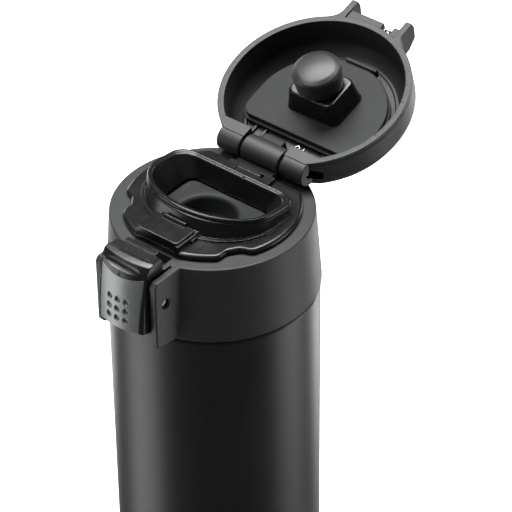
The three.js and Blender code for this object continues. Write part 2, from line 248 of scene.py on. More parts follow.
def sweep(name, outline, stations, back=0.0):
    """A side view outline of (y, z) carried along X.

    A station is an x, or (x, share) where the outline keeps that share of its depth in front
    of y = back.
    """
    stations = [s if isinstance(s, tuple) else (s, 1.0) for s in stations]
    first, share = stations[0]
    draw([(first, back + (y - back) * share, z) for y, z in outline])
    for (x0, share0), (x, share) in zip(stations, stations[1:]):
        bpy.ops.mesh.extrude_region_move(TRANSFORM_OT_translate={"value": (x - x0, 0, 0)})
        bpy.ops.transform.resize(value=(1, share / share0, 1), center_override=(x, back, 0))
    face_out()
    return lay_down(name)


def soften(workpiece, width, segments=3, angle=40.0):
    """Round every edge sharper than angle."""
    take(workpiece)
    rounding = workpiece.modifiers.new("Rounding", "BEVEL")
    rounding.width = width
    rounding.segments = segments
    rounding.limit_method = "ANGLE"
    rounding.angle_limit = math.radians(angle)
    rounding.miter_outer = "MITER_ARC"
    bpy.ops.object.modifier_apply(modifier=rounding.name)
    return workpiece


def side_block(name, corners, x0, x1, edge=0.3):
    """A block with a side view outline of (y, z) corners, its ends rounded by edge."""
    block = sweep(name, rounded(corners), [x0, x1])
    return soften(block, edge) if edge else block


def box(name, low, high, edge=0.3):
    corners = [(low[1], low[2]), (low[1], high[2]), (high[1], high[2]), (high[1], low[2])]
    return side_block(name, corners, low[0], high[0], edge)


def rod(name, radius, x0, x1, y, z, edge=0.3, count=SMALL_ROUND):
    """A round bar along X."""
    outline = [(y + a, z + b) for a, b in circle(radius, count)]
    bar = sweep(name, outline, [x0, x1])
    return soften(bar, edge) if edge else bar


def post(name, profile, x, y, count=SMALL_ROUND):
    """A turned piece that stands at x, y."""
    piece = turned(name, profile, count)
    take(piece)
    piece.location = (x, y, 0)
    bpy.ops.object.transform_apply()
    return piece


def combine(body, others, operation):
    for other in others:
        take(body)
        joint_work = body.modifiers.new(operation, "BOOLEAN")
        joint_work.operation = operation
        joint_work.solver = "MANIFOLD"
        joint_work.object = other
        bpy.ops.object.modifier_apply(modifier=joint_work.name)
        bpy.data.objects.remove(other)
    if not body.data.polygons:
        raise RuntimeError(f"{body.name}: nothing is left after {operation}")
    return body


def weld_on(body, *others):
    return combine(body, others, "UNION")


def cut_away(body, *others):
    return combine(body, others, "DIFFERENCE")


def keep_within(body, *others):
    return combine(body, others, "INTERSECT")


def wire(name, radius, route, x_shift=0.0):
    """A bent round wire through the points of route."""
    clear_bench()
    curve = bpy.data.curves.new(name, "CURVE")
    curve.dimensions = "3D"
    curve.bevel_depth = radius
    curve.bevel_resolution = 4
    curve.use_fill_caps = True
    spline = curve.splines.new("POLY")
    spline.points.add(len(route) - 1)
    for point, place in zip(spline.points, route):
        point.co = (place[0] + x_shift, place[1], place[2], 1)
    bent = bpy.data.objects.new(name, curve)
    bpy.context.scene.collection.objects.link(bent)
    take(bent)
    bpy.ops.object.convert(target="MESH")
    bent = bpy.context.object
    edit(bent)
    bpy.ops.mesh.select_all(action="SELECT")
    bpy.ops.mesh.remove_doubles(threshold=0.001)
    face_out()
    return lay_down(name)


def copies(piece, places):
    """Copies of a piece, each with its own mesh, moved to each place; the first one included."""
    made = []
    for k, place in enumerate(places):
        twin = piece.copy()
        twin.data = piece.data.copy()
        twin.name = f"{piece.name}_{k}"
        bpy.context.scene.collection.objects.link(twin)
        take(twin)
        twin.location = place
        bpy.ops.object.transform_apply()
        made.append(twin)
    bpy.data.objects.remove(piece)
    return made


def hand_over(piece, space, body, slot, materials, *stands_for, angle=34.0):
    """Smooth a finished piece, put it in its place in the frame and hang it on its body."""
    take(piece)
    bpy.ops.object.shade_smooth_by_angle(angle=math.radians(angle))
    even = piece.modifiers.new("Even shading", "WEIGHTED_NORMAL")
    even.keep_sharp = True
    bpy.ops.object.modifier_apply(modifier=even.name)
    piece.matrix_world = space
    bpy.ops.object.transform_apply()
    piece.data.materials.clear()
    for material in materials:
        piece.data.materials.append(material)
    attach(piece, body)
    if stands_for:
        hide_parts(*stands_for)
    return piece


# ---------------------------------------------------------------------------
# Finishes
# ---------------------------------------------------------------------------


class Reading:
    """One output of a finish's nodes. Arithmetic on it adds Math nodes to the finish."""

    def __init__(self, finish, socket):
        self.finish = finish
        self.socket = socket

    def maths(self, operation, first, second):
        return self.finish.node("ShaderNodeMath", {"operation": operation}, {0: first, 1: second})

    def __add__(self, other):
        return self.maths("ADD", self, other)

    def __radd__(self, other):
        return self.maths("ADD", other, self)

    def __sub__(self, other):
        return self.maths("SUBTRACT", self, other)

    def __rsub__(self, other):
        return self.maths("SUBTRACT", other, self)

    def __mul__(self, other):
        return self.maths("MULTIPLY", self, other)

    def __rmul__(self, other):
        return self.maths("MULTIPLY", other, self)

    def between(self, low, high):
        """0 below low, 1 above high and smooth between them."""
        settings = {"interpolation_type": "SMOOTHSTEP"}
        return self.finish.node("ShaderNodeMapRange", settings, {0: self, 1: low, 2: high})


class Finish:
    """A material and the nodes that describe its surface."""

    def __init__(self, name):
        self.material = bpy.data.materials.new(name)
        self.material.use_nodes = True
        self.tree = self.material.node_tree
        self.shader = self.tree.nodes["Principled BSDF"]
        self.place = self.node("ShaderNodeTexCoord", {}, {}, "Object")

    def node(self, kind, settings, inputs, output=0):
        """Add a node, with its settings first and then the values or links of its sockets."""
        made = self.tree.nodes.new(kind)
        for key, value in settings.items():
            if key == "stops":
                for stop, (position, shade) in zip(made.color_ramp.elements, value):
                    stop.position = position
                    stop.color = (shade, shade, shade, 1)
            else:
                setattr(made, key, value)
        for key, value in inputs.items():
            self.connect(made.inputs[key], value)
        return Reading(self, made.outputs[output])

    def connect(self, socket, value):
        if isinstance(value, Reading):
            self.tree.links.new(value.socket, socket)
        else:
            socket.default_value = value

    def set(self, **values):
        """Set the shader's sockets, named with _ for a blank."""
        for name, value in values.items():
            self.connect(self.shader.inputs[name.replace("_", " ")], value)
        return self

    def stretched(self, across, along, up):
        """The place on the piece, scaled differently along each axis."""
        inputs = {"Vector": self.place, "Scale": (across, along, up)}
        return self.node("ShaderNodeMapping", {}, inputs)

    def noise(self, size, detail=2.0, roughness=0.5, place=None):
        """Soft random variation with features of the given size in millimetres."""
        inputs = {"Vector": place or self.place, "Scale": 1 / (size * MM), "Detail": detail}
        inputs["Roughness"] = roughness
        return self.node("ShaderNodeTexNoise", {}, inputs)

    def specks(self, size):
        """Distance to scattered points, with cells of the given size in millimetres."""
        inputs = {"Vector": self.place, "Scale": 1 / (size * MM)}
        return self.node("ShaderNodeTexVoronoi", {}, inputs)

    def blend(self, share, first, second):
        settings = {"data_type": "RGBA"}
        inputs = {0: share, 6: first, 7: second}
        return self.node("ShaderNodeMix", settings, inputs, 2)

    def bump(self, height, depth, under=None):
        """A relief of the given depth in millimetres."""
        inputs = {"Height": height, "Distance": depth * MM, "Strength": 1.0}
        if under is not None:
            inputs["Normal"] = under
        return self.node("ShaderNodeBump", {}, inputs)

    def edge_highlight_and_wear(self, reach):
        """A normal with edges rounded over reach millimetres, and how close an edge is, 0 to 1; the
        finishes use it to paint edges brighter, as painted highlight and wear.
        """
        soft = self.node("ShaderNodeBevel", {"samples": 4}, {"Radius": reach * MM})
        true = self.node("ShaderNodeNewGeometry", {}, {}, "Normal")
        settings = {"operation": "DOT_PRODUCT"}
        facing = self.node("ShaderNodeVectorMath", settings, {0: soft, 1: true}, "Value")
        return soft, (1 - facing).between(0.01, 0.2)


def grey(shade, tint=0.0):
    """A neutral colour with a slight cool tint."""
    return (shade * (1 - tint), shade, shade * (1 + tint), 1)


def moulded(name, shade, roughness, grain_size, grain_depth, detail=3.0, shine=0.5):
    """Moulded plastic: fine spark-eroded grain, slow random changes of tone, and edges painted
    brighter, partly rub wear and partly a painted highlight.
    """
    finish = Finish(name)
    rounded_normal, edge = finish.edge_highlight_and_wear(0.3)
    grain = finish.noise(grain_size, detail, 0.5)
    cloud = finish.noise(9.0, 3.0)
    rub = finish.noise(2.2, 4.0).between(0.35, 0.7)
    base = finish.blend(cloud, grey(shade * 0.8, 0.02), grey(shade * 1.2, 0.02))
    # Edges painted brighter: a painted highlight along every edge, patchy where the rub noise adds
    # real wear.
    edge_lit_and_worn = finish.blend(edge * (rub * 0.6 + 0.3), base, grey(shade * 2 + 0.06, 0.01))
    gloss = roughness + (grain - 0.5) * 0.06 + (cloud - 0.5) * 0.1 - edge * 0.08
    finish.set(
        Base_Color=edge_lit_and_worn,
        Roughness=gloss,
        Specular_IOR_Level=shine,
        Normal=finish.bump(grain, grain_depth, rounded_normal),
    )
    return finish.material


def metal(name, shade, roughness, size, stretch, tint=0.0):
    """Bare metal, drawn or brushed: noise drawn out along one axis."""
    finish = Finish(name)
    lines = finish.noise(size, 3.0, 0.6, finish.stretched(*stretch))
    cloud = finish.noise(5.0, 2.0)
    finish.set(
        Base_Color=finish.blend(cloud, grey(shade * 0.85, tint), grey(shade, tint)),
        Metallic=1.0,
        Roughness=roughness + (lines - 0.5) * 0.25,
        Normal=finish.bump(lines, 0.01),
    )
    return finish.material


def body_paint(shade, roughness):
    """Satin paint sprayed on steel: faint orange peel, tiny flecks and a soft clear coat."""
    finish = Finish("Satin black paint")
    peel = finish.noise(0.9, 2.0)
    fleck = finish.specks(0.45).between(0.12, 0.3)
    cloud = finish.noise(24.0, 3.0)
    finish.set(
        Base_Color=finish.blend(cloud * 0.6 + (1 - fleck) * 0.4, grey(shade), grey(shade * 1.7)),
        Roughness=roughness + (cloud - 0.5) * 0.06 + (peel - 0.5) * 0.05,
        Coat_Weight=0.15,
        Coat_Roughness=0.3,
        Normal=finish.bump(peel, 0.012),
    )
    return finish.material


def gunmetal_paint(shade, roughness):
    """Metallic paint on the latch plate: fine flakes under a satin lacquer."""
    finish = Finish("Gunmetal lacquer")
    rounded_normal, edge = finish.edge_highlight_and_wear(0.2)
    flakes = finish.noise(0.16, 2.0, 0.7)
    cloud = finish.noise(5.0, 2.0)
    base = finish.blend(flakes, grey(shade * 0.72, 0.01), grey(shade * 1.25, 0.01))
    finish.set(
        # Edges painted lighter: a painted highlight along the plate's edges, partly edge wear.
        Base_Color=finish.blend(edge * 0.6, base, grey(shade * 1.8)),
        Metallic=0.75,
        Roughness=roughness + (flakes - 0.5) * 0.2 + (cloud - 0.5) * 0.1,
        Normal=finish.bump(flakes, 0.006, rounded_normal),
    )
    return finish.material


def rubbery(name, shade, roughness):
    """Silicone or rubber: dusty, with a fine pimpled skin."""
    finish = Finish(name)
    rounded_normal, edge = finish.edge_highlight_and_wear(0.3)
    skin = finish.noise(0.3, 3.0, 0.65)
    dust = finish.noise(3.0, 5.0, 0.6).between(0.45, 0.8)
    base = finish.blend(dust * 0.5, grey(shade), grey(shade * 1.5))
    finish.set(
        # Edges painted brighter: a painted highlight along the edges, partly edge wear.
        Base_Color=finish.blend(edge * 0.3, base, grey(shade * 2)),
        Roughness=roughness + dust * 0.08 + (skin - 0.5) * 0.06,
        Normal=finish.bump(skin, 0.012, rounded_normal),
        Sheen_Weight=0.1,
        Sheen_Roughness=0.5,
    )
    return finish.material


def solder_glass():
    """The fused bead that closes the evacuation hole."""
    finish = Finish("Solder glass")
    swirl = finish.noise(0.8, 4.0)
    finish.set(
        Base_Color=finish.blend(swirl, (0.03, 0.07, 0.04, 1), (0.09, 0.14, 0.1, 1)),
        Roughness=0.12 + swirl * 0.12,
        Normal=finish.bump(swirl, 0.03),
    )
    return finish.material


def crinkled_foil():
    finish = Finish("Crinkled foil")
    creases = finish.specks(5.0)
    fine = finish.noise(1.2, 3.0)
    finish.set(
        Base_Color=finish.blend(fine, grey(0.55), grey(0.75)),
        Metallic=1.0,
        Roughness=0.2 + fine * 0.2,
        Normal=finish.bump(creases + fine * 0.2, 0.2),
    )
    return finish.material


# ---------------------------------------------------------------------------
# Settings that a user would change
# ---------------------------------------------------------------------------


class FlaskColours(bpy.types.PropertyGroup):
    """How dark and how glossy the finishes are."""

    collar_shade: bpy.props.FloatProperty(
        name="Matt plastic",
        description="Shade of the collar and lid",
        default=0.015,
        min=0,
        max=1,
    )
    spout_shade: bpy.props.FloatProperty(
        name="Gloss plastic",
        description="Shade of the spout and latch",
        default=0.006,
        min=0,
        max=1,
    )
    plate_shade: bpy.props.FloatProperty(
        name="Grey plastic",
        description="Shade of the plate in the lid",
        default=0.017,
        min=0,
        max=1,
    )
    paint_shade: bpy.props.FloatProperty(
        name="Body paint",
        description="Shade of the painted body",
        default=0.004,
        min=0,
        max=1,
    )
    latch_shade: bpy.props.FloatProperty(
        name="Latch plate",
        description="Shade of the gunmetal plate",
        default=0.22,
        min=0,
        max=1,
    )
    paint_roughness: bpy.props.FloatProperty(
        name="Paint roughness",
        description="Roughness of the body paint",
        default=0.42,
        min=0,
        max=1,
    )


class FlaskSizes(bpy.types.PropertyGroup):
    """Sizes of the fine detail, in millimetres."""

    wall_edge: bpy.props.FloatProperty(
        name="Collar edge",
        description="Rounding of the collar's top edge, mm",
        default=0.6,
        min=0.1,
    )
    plateau_edge: bpy.props.FloatProperty(
        name="Plateau edge",
        description="Rounding round the plateau, mm",
        default=1.25,
        min=0.2,
    )
    dimple_radius: bpy.props.FloatProperty(
        name="Dimple radius",
        description="Radius of the grip dimples, mm",
        default=1.0,
        min=0.2,
    )
    rib_count: bpy.props.IntProperty(
        name="Grip ribs",
        description="Ribs across the top of the latch",
        default=5,
        min=0,
        max=8,
    )


class FlaskStage(bpy.types.PropertyGroup):
    """Camera and light round the flask."""

    azimuth: bpy.props.FloatProperty(
        name="Azimuth",
        description="How far the camera stands to the right",
        default=math.radians(39.32),
        subtype="ANGLE",
    )
    elevation: bpy.props.FloatProperty(
        name="Elevation",
        description="How far the camera looks down",
        default=math.radians(37.56),
        subtype="ANGLE",
    )
    roll: bpy.props.FloatProperty(
        name="Roll",
        description="Tilt of the camera about its own axis",
        default=math.radians(-0.66),
        subtype="ANGLE",
    )
    distance: bpy.props.FloatProperty(
        name="Distance",
        description="Camera to the middle of the collar",
        default=0.85,
        unit="LENGTH",
    )
    lens: bpy.props.FloatProperty(
        name="Lens",
        description="Focal length on a 36 mm sensor",
        default=196.9,
        subtype="DISTANCE_CAMERA",
    )
    aim: bpy.props.FloatVectorProperty(
        name="Aim",
        description="Where the collar's middle lies right of and above the frame's middle",
        size=2,
        default=(-0.0132, 0.0149),
        unit="LENGTH",
    )


def settings():
    return bpy.context.scene.flask_sizes, bpy.context.scene.flask_colours


FINISHES = {}


def finish_named(name):
    """The shared materials, made once."""
    if not FINISHES:
        _, shades = settings()
        FINISHES.update(
            paint=body_paint(shades.paint_shade, shades.paint_roughness),
            matt=moulded("Matt charcoal plastic", shades.collar_shade, 0.5, 0.22, 0.014),
            gloss=moulded("Gloss black plastic", shades.spout_shade, 0.26, 2.5, 0.004, 0.0),
            dark=moulded("Dark lid lining", shades.spout_shade * 0.5, 0.5, 0.25, 0.004),
            grey=moulded("Satin grey plastic", shades.plate_shade, 0.5, 1.5, 0.002, 1.0, 0.18),
            gunmetal=gunmetal_paint(shades.latch_shade, 0.36),
            silicone=rubbery("Black silicone", shades.spout_shade * 1.3, 0.4),
            rubber=rubbery("Foot rubber", 0.02, 0.8),
            steel=metal("Brushed steel", 0.6, 0.3, 0.12, (1, 1, 0.05)),
            # Spring steel is darker than the brushed steel: partly its own tone, partly painted
            # shade for the pins and wires that sit in shadowed gaps.
            spring=metal("Spring steel", 0.3, 0.3, 0.1, (0.1, 1, 1)),
            getter=metal("Getter metal", 0.25, 0.6, 0.3, (1, 1, 1)),
            foil=crinkled_foil(),
            glass=solder_glass(),
        )
    return FINISHES[name]


# ---------------------------------------------------------------------------
# Bottle
# ---------------------------------------------------------------------------


def helix_ridge(name, root, crest, start, turns, pitch, root_half=0.9, crest_half=0.45):
    """A screw thread: a trapezoid carried round Z and up, its two ends closed."""
    section = [
        (root, 0, start - root_half),
        (crest, 0, start - crest_half),
        (crest, 0, start + crest_half),
        (root, 0, start + root_half),
    ]
    draw(section)
    bpy.ops.mesh.delete(type="ONLY_FACE")
    ridge = lay_down(name)
    take(ridge)
    screw = ridge.modifiers.new("Thread", "SCREW")
    screw.angle = 2 * math.pi
    screw.screw_offset = pitch
    screw.iterations = turns
    screw.steps = SMALL_ROUND
    screw.render_steps = SMALL_ROUND
    bpy.ops.object.modifier_apply(modifier=screw.name)
    edit(ridge)
    bpy.ops.mesh.select_all(action="SELECT")
    bpy.ops.mesh.remove_doubles(threshold=0.001)
    bpy.ops.mesh.fill_holes(sides=0)
    face_out()
    return lay_down(name)


class FLASK_OT_body(bpy.types.Operator):
    """Model the painted steel body with its bare threaded neck"""

    bl_idname = "flask.body"
    bl_label = "Painted body"

    def execute(self, context):
        low, high = node_box("outer_shell")
        radius = 33.0
        shoulder = DECK - 26.4
        neck = 26.4
        wall = 0.9
        seam = low.z + 4.2
        profile = rounded([
            (31.0, low.z),
            (radius, low.z, 1.7),
            (radius, seam),
            (radius - 0.18, seam + 0.2),
            (radius, seam + 0.4),
            (radius, shoulder, 1.5),
            (neck, shoulder, 0.5),
            (neck, high.z, 0.25),
            (neck - wall, high.z, 0.25),
            (neck - wall, shoulder - wall),
            (radius - wall, shoulder - wall, 1.0),
            (radius - wall, low.z + 1.4),
            (31.0, low.z + 1.4),
        ])
        body = turned("painted_body", profile, ROUND, loop=True)
        ridge = helix_ridge("neck_thread", neck - 0.3, neck + 1.0, DECK - 23.0, 2, 4.0)
        weld_on(body, ridge)
        hand_over(
            body, BOTTLE_SPACE, "bottle", "black_paint",
            [finish_named("paint"), finish_named("steel")], "outer_shell",
        )
        for face in body.data.polygons:
            place = face.center / MM
            if place.z > shoulder - 0.2 and math.hypot(place.x, place.y) < neck + 1.3:
                face.material_index = 1
        return {"FINISHED"}


class FLASK_OT_foot(bpy.types.Operator):
    """Model the rubber foot with its raised rings"""

    bl_idname = "flask.foot"
    bl_label = "Foot pad"

    def execute(self, context):
        low, high = node_box("base_pad")
        edge = high.x
        ridges = []
        for radius in (8.0, 13.0, 18.0, 23.0):
            ridges += [
                (radius, 0.35),
                (radius + 0.3, 0.1, 0.1),
                (radius + 1.1, 0.1, 0.1),
                (radius + 1.4, 0.35),
            ]
        pad = turned("foot_pad", rounded([
            (1.0, 0.35),
            *ridges,
            (25.6, 0.35),
            (26.2, low.z, 0.3),
            (edge - 0.5, low.z, 0.5),
            (edge, 0.6, 0.3),
            (edge, high.z),
            (1.0, high.z),
        ]))
        hand_over(pad, BOTTLE_SPACE, "bottle", "rubber_pad", [finish_named("rubber")], "base_pad")
        return {"FINISHED"}


class FLASK_OT_inner_parts(bpy.types.Operator):
    """Give the pieces that stay as they are in the frame their finishes"""

    bl_idname = "flask.inner_parts"
    bl_label = "Inner parts"

    def execute(self, context):
        finishes = {
            "inner_flask": "steel",
            "bottom_plate": "steel",
            "radiation_foil": "foil",
            "getter_pellet": "getter",
            "vacuum_plug": "glass",
            "neck_gasket": "silicone",
            "spout_seal": "silicone",
            "cap_core": "gloss",
            "latch_spring": "spring",
        }
        for node, finish in finishes.items():
            mesh = frame["nodes"][node].data
            mesh.materials.clear()
            mesh.materials.append(finish_named(finish))
        return {"FINISHED"}


# ---------------------------------------------------------------------------
# Cap
# ---------------------------------------------------------------------------

CHEEK_INNER = 9.3
CHEEK_OUTER = 11.8


class FLASK_OT_collar(bpy.types.Operator):
    """Model the matt collar with the latch cheeks and the middle hinge barrel"""

    bl_idname = "flask.collar"
    bl_label = "Collar"

    def execute(self, context):
        sizes, _ = settings()
        foot = -26.0
        foot_radius = 33.4
        top_radius = 31.5
        wall = 2.2
        deck = 2.4
        hole = 24.2
        skirt = turned("cap_collar", rounded([
            (foot_radius - wall, foot, 0.2),
            (foot_radius, foot, 0.35),
            (top_radius, 0, sizes.wall_edge),
            (hole, 0, 0.25),
            (hole, -deck),
            (top_radius - wall, -deck, 0.8),
        ]), ROUND, loop=True)
        cheek = [(-27.5, 0), (-39.4, 0, 0.5), (-40.6, -1.3, 0.6), (-40.6, -24, 1.6), (-27.5, -26)]
        cheek_block = side_block("cheek", cheek, 0, CHEEK_OUTER - CHEEK_INNER, 0.5)
        cheeks = copies(cheek_block, [(CHEEK_INNER, 0, 0), (-CHEEK_OUTER, 0, 0)])
        half = 7.2
        web = [(24.5, -deck), (24.5, 1), (22.5, 1, 0.4), (22.5, HINGE.z)]
        web += [(30.4, HINGE.z), (31.1, -deck)]
        hinge_web = side_block("web", web, -half, half, 0.25)
        barrel = rod("barrel", 4.2, -half, half, HINGE.y, HINGE.z, 0.35, 96)
        arm = box("arm", (0, -33.0, -2), (1.7, -26.6, 0.15), 0.25)
        arms = copies(arm, [(-8.8, 0, 0), (7.1, 0, 0)])
        weld_on(skirt, *cheeks, hinge_web, barrel, *arms)
        hollow = turned("hollow", [
            (foot_radius - wall + 0.08, foot - 1),
            (foot_radius - wall + 0.01, foot),
            (top_radius - wall + 0.01, -deck - 0.01),
        ], ROUND)
        cut_away(
            skirt,
            hollow,
            box("slot", (-7, -34, -4), (7, -27, 1), 0.4),
            rod("bore", 1.6, -20, 20, HINGE.y, HINGE.z, 0),
            rod("pocket", 3.4, 3, 8, HINGE.y, HINGE.z, 0),
            rod("latch_bore", 1.6, -20, 20, PIVOT.y, PIVOT.z, 0),
        )
        for side in (-1, 1):
            x0, x1 = sorted((side * (CHEEK_OUTER - 0.35), side * (CHEEK_OUTER + 1)))
            cut_away(skirt, rod("sink", 1.95, x0, x1, PIVOT.y, PIVOT.z, 0))
        hand_over(skirt, CAP_SPACE, "cap", "matt_plastic", [finish_named("matt")], "collar")
        return {"FINISHED"}


def plateau_outline(count=288):
    """A circle with one soft dip on each side of the latch, as a unit of its largest radius."""
    dip = 2.6 / 27.5
    dip_angle = math.radians(35.5)
    dip_width = math.radians(9)
    points = []
    for k in range(count):
        angle = 2 * math.pi * k / count
        off = min(abs(angle - 2 * math.pi + dip_angle), abs(angle - math.pi - dip_angle))
        r = 1 - dip * math.exp(-((off / dip_width) ** 4))
        points.append((27.5 * r * math.cos(angle), 27.5 * r * math.sin(angle)))
    return points


def quarter(radius, count=6):
    """Insets and rises of a quarter round, from a wall over to a flat."""
    turns = [math.pi / 2 * k / count for k in range(count + 1)]
    return [(radius * (1 - math.cos(a)), radius * math.sin(a)) for a in turns]


class FLASK_OT_spout(bpy.types.Operator):
    """Model the spout: plateau, D-shaped wall with its rolled lip, tongue and shelf"""

    bl_idname = "flask.spout"
    bl_label = "Drinking spout"

    def execute(self, context):
        sizes, _ = settings()
        radius = 27.5
        plateau_top = 2.0
        edge = sizes.plateau_edge
        rows = [(radius - 0.3, 0.35), (radius, 0.5)]
        rows += [(radius - inset, plateau_top - edge + rise) for inset, rise in quarter(edge)]
        plateau = loft("drink_spout", [
            (x * (radius - 0.3) / radius, y * (radius - 0.3) / radius) for x, y in plateau_outline()
        ], [(r, r, r, z) for r, z in rows])
        # the wall leans in at the front, and its rim falls towards the hinge
        half, front, back, corner = 22.6, 15.3, 13.2, 6.0
        flare = 3.0
        foot_z, top_z = 1.6, 9.0
        rim_tilt = math.radians(6.3)

        def wall(out, z):
            lean = flare * max(0.0, (top_z - z) / (top_z - foot_z)) ** 1.3
            share = min(1.0, max(0.0, (z - 2.6) / 4.4))
            return (half + out, front + lean + out, back + out, z, rim_tilt * share)

        section = [(0.0, z) for z in (0.6, 1.6, 2.6, 3.4, 4.5, 5.7, 7.0)]
        section += [(0.1, 7.15), (0.18, 7.35), (0.1, 7.5)]
        section += [(-0.25, 7.65), (-0.25, 7.8), (0.05, 7.95)]
        bead = 0.6
        for k in range(8):
            turn = math.radians(-20 + 110 * k / 7)
            section.append((-0.4 + bead * math.cos(turn), top_z - bead + bead * math.sin(turn)))
        foot = wall(*section[0])
        shell = loft("wall", d_outline(*foot[:3], corner), [wall(*s) for s in section])
        flange_size = (23.5, 18.95, 13.9)
        flange_rows = [(*flange_size, 1.2), (*flange_size, 2.5), (23.35, 18.8, 13.75, 2.65)]
        flange = loft("flange", d_outline(*flange_size, 6.6), flange_rows)
        stem = turned("stem", [(23.3, -5), (23.6, -4.7), (23.6, 0.6)])
        steps = box("steps", (-8.8, -20.2, 1.0), (8.8, -15, 3.0), 0.2)
        tongue_side = [(-15, 1), (-15, 3.9), (-25.9, 3.9, 0.3), (-26.2, 3.2), (-26.2, 1)]
        tongue = side_block("tongue", tongue_side, -8.3, 8.3, 0.3)
        bar = loft("bar", rectangle(7.7, 26.0, -17.0, 1.1), [
            (7.7, 26.0, -17.0, 3.0),
            (7.7, 26.0, -17.0, 4.55),
            (7.6, 25.9, -17.1, 4.78),
            (7.35, 25.65, -17.35, 4.9),
        ])
        clip_side = [(-16.9, 3), (-16.9, 5.9, 0.2), (-17.6, 5.9, 0.3), (-18.5, 4.7)]
        clip = side_block("clip", clip_side, -4.3, 4.3, 0.15)
        shelf = box("shelf", (-8.8, 9.5, 1), (8.8, 19.9, 3.4), 0.3)
        apron = box("apron", (-7.2, 19, 1), (7.2, 21.6, 3.4), 0.3)
        weld_on(plateau, shell, flange, stem, steps, tongue, bar, clip, shelf, apron)
        bowl_rows = [
            (half + out, front + out, back + out, z, rim_tilt)
            for out, z in (
                (-0.42, 9.6), (-0.62, 9.02), (-0.8, 8.86), (-1.5, 8.78), (-1.8, 8.62), (-2.0, 8.3)
            )
        ]
        rim_z, floor_z = 8.3, -0.6
        for share, tilt in ((0.04, 1.0), (0.25, 0.7), (0.5, 0.4), (0.75, 0.15), (1.0, 0.0)):
            bowl_rows.append((
                20.6 - 4.9 * share,
                13.3,
                11.2 - 2.0 * share,
                rim_z + (floor_z - rim_z) * share,
                rim_tilt * tilt,
            ))
        bowl = loft("bowl", d_outline(*bowl_rows[0][:3], corner - 0.4), bowl_rows)
        pocket_row = (16.6, 14.4, 9.2)
        pocket = loft("pocket", rectangle(*pocket_row, 3), [(*pocket_row, -6), (*pocket_row, -0.4)])
        cut_away(
            plateau,
            bowl,
            pocket,
            box("back", (-18, 21.8, -1), (18, 30, 6), 0),
            box("left", (-18, 20.3, 0.1), (-7.4, 30, 6), 0),
            box("right", (7.4, 20.3, 0.1), (18, 30, 6), 0),
            box("recess", (-4.6, 14.6, 2.9), (4.6, 18.4, 4), 0.3),
            box("slot", (3.9, 16.9, 2.3), (5.4, 18.9, 4), 0.15),
            box("under", (-9.5, -30, 0), (9.5, -26.3, 2.2), 0),
            box("rim_notch", (2.5, 10.9, 5.5), (3.3, 12.1, 7), 0.1),
        )
        hand_over(plateau, CAP_SPACE, "cap", "gloss_plastic", [finish_named("gloss")], "spout")
        return {"FINISHED"}


class FLASK_OT_valve_seat(bpy.types.Operator):
    """Model the floor of the spout with the round cup that takes the plug"""

    bl_idname = "flask.valve_seat"
    bl_label = "Valve seat"

    def execute(self, context):
        centre = -3.0
        half, front, back = 16.2, 14.0, 8.8
        rows = [(0.2, -2.2), (0.0, -2.0), (0.0, -1.6), (1.0, -1.5), (1.1, -1.1), (1.3, -0.92)]
        boxes = [(half - i, front - i * 0.3, back - i * 0.4, z) for i, z in rows]
        tray = loft("valve_tray", rectangle(*boxes[0][:3], 2.6), boxes)
        cup = post("cup", [(9.3, -9.0), (9.7, -8.6), (11.0, -1.1)], 0, centre)
        mouth = [(0.5, -7.8), (6.9, -7.8), (7.9, -7.6), (8.45, -7.0), (8.6, -6.4), (9.35, -2.6)]
        mouth += [(9.35 + inset, -2.6 + rise) for inset, rise in quarter(1.55)[1:]]
        weld_on(tray, cup)
        cut_away(tray, post("mouth", mouth + [(12.5, -0.9), (12.5, 2)], 0, centre))
        ring = post("ring", [(7.6, -8.2), (7.6, -7.5), (7.3, -7.3), (6.3, -7.3)], 0, centre)
        weld_on(tray, ring)
        cut_away(tray, post("hole", [(5.4, -12), (5.5, -7.8), (6.1, -7.0)], 0, centre))
        hand_over(tray, CAP_SPACE, "cap", "grey_plastic", [finish_named("grey")], "valve_seat")
        return {"FINISHED"}


# ---------------------------------------------------------------------------
# Latch
# ---------------------------------------------------------------------------

LATCH_BACK = -33.6
LATCH_FRONT = -45.7
PLATE_CROWN = 2.0  # how far the sides of the button fall back from its middle
PLATE_TOP_HALF = 7.95
PLATE_FOOT_HALF = 7.1


def crown(x):
    """Share of the button's depth that is left at x."""
    return 1 - PLATE_CROWN * (x / 8.6) ** 2 / (LATCH_BACK - LATCH_FRONT)


def crowned_sweep(name, outline, half, count=16):
    xs = [half * (2 * k / count - 1) for k in range(count + 1)]
    return sweep(name, outline, [(x, crown(x)) for x in xs], LATCH_BACK)


def plate_front(z):
    """How far forward the middle of the plate stands at a height."""
    share = (1.3 - z) / 19
    return -42.4 - 3.0 * share - 0.5 * math.sin(math.pi * min(1.0, max(0.0, share)))


def plate_outline(workpiece, gap, top):
    """Trim a piece to the plate's outline seen from the front: arched top, sides drawn in."""
    arch = 24.0
    disc = turned("disc", [(arch, -6), (arch, 30)], ROUND)
    take(disc)
    disc.rotation_euler = (math.radians(90), 0, 0)
    disc.location = (0, -25, top + arch)
    bpy.ops.object.transform_apply()
    edge = [(PLATE_TOP_HALF + gap, 2), (PLATE_FOOT_HALF + gap, -20), (14, -20), (14, 2)]
    wedges = []
    for side in (-1, 1):
        wedge = sweep("wedge", [(side * x, z) for x, z in edge], [-60, -30])
        take(wedge)
        wedge.rotation_euler = (0, 0, math.radians(90))
        bpy.ops.object.transform_apply()
        wedges.append(wedge)
    return cut_away(workpiece, disc, *wedges)


